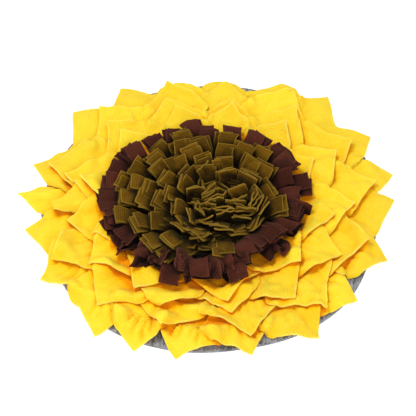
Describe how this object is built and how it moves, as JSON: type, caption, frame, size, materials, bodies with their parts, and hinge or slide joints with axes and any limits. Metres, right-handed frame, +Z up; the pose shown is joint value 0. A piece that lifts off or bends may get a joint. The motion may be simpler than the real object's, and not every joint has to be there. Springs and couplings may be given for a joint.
{
  "type": "snuffle mat",
  "caption": "Round sunflower snuffle mat: grey felt base with overlapping rings of yellow fleece petals, a ring of brown strips and a dome of olive strips.",
  "frame": {"origin": "middle of the felt base's underside, on the surface that the mat lies on", "axes": "+Z up from the surface; +X to the right and +Y away from the viewer in the picture"},
  "size_m": [0.512, 0.4689, 0.0659],
  "materials": {
    "grey_felt": "matte pressed felt",
    "yellow_fleece": "matte napped fleece",
    "brown_fleece": "matte napped fleece",
    "olive_fleece": "matte napped fleece"
  },
  "bodies": {
    "root": {"base": "grey_felt", "petals_outer": "yellow_fleece", "petals_second": "yellow_fleece", "petals_third": "yellow_fleece", "petals_inner": "yellow_fleece", "brown_strips": "brown_fleece", "olive_strips": "olive_fleece"}
  },
  "joints": []
}
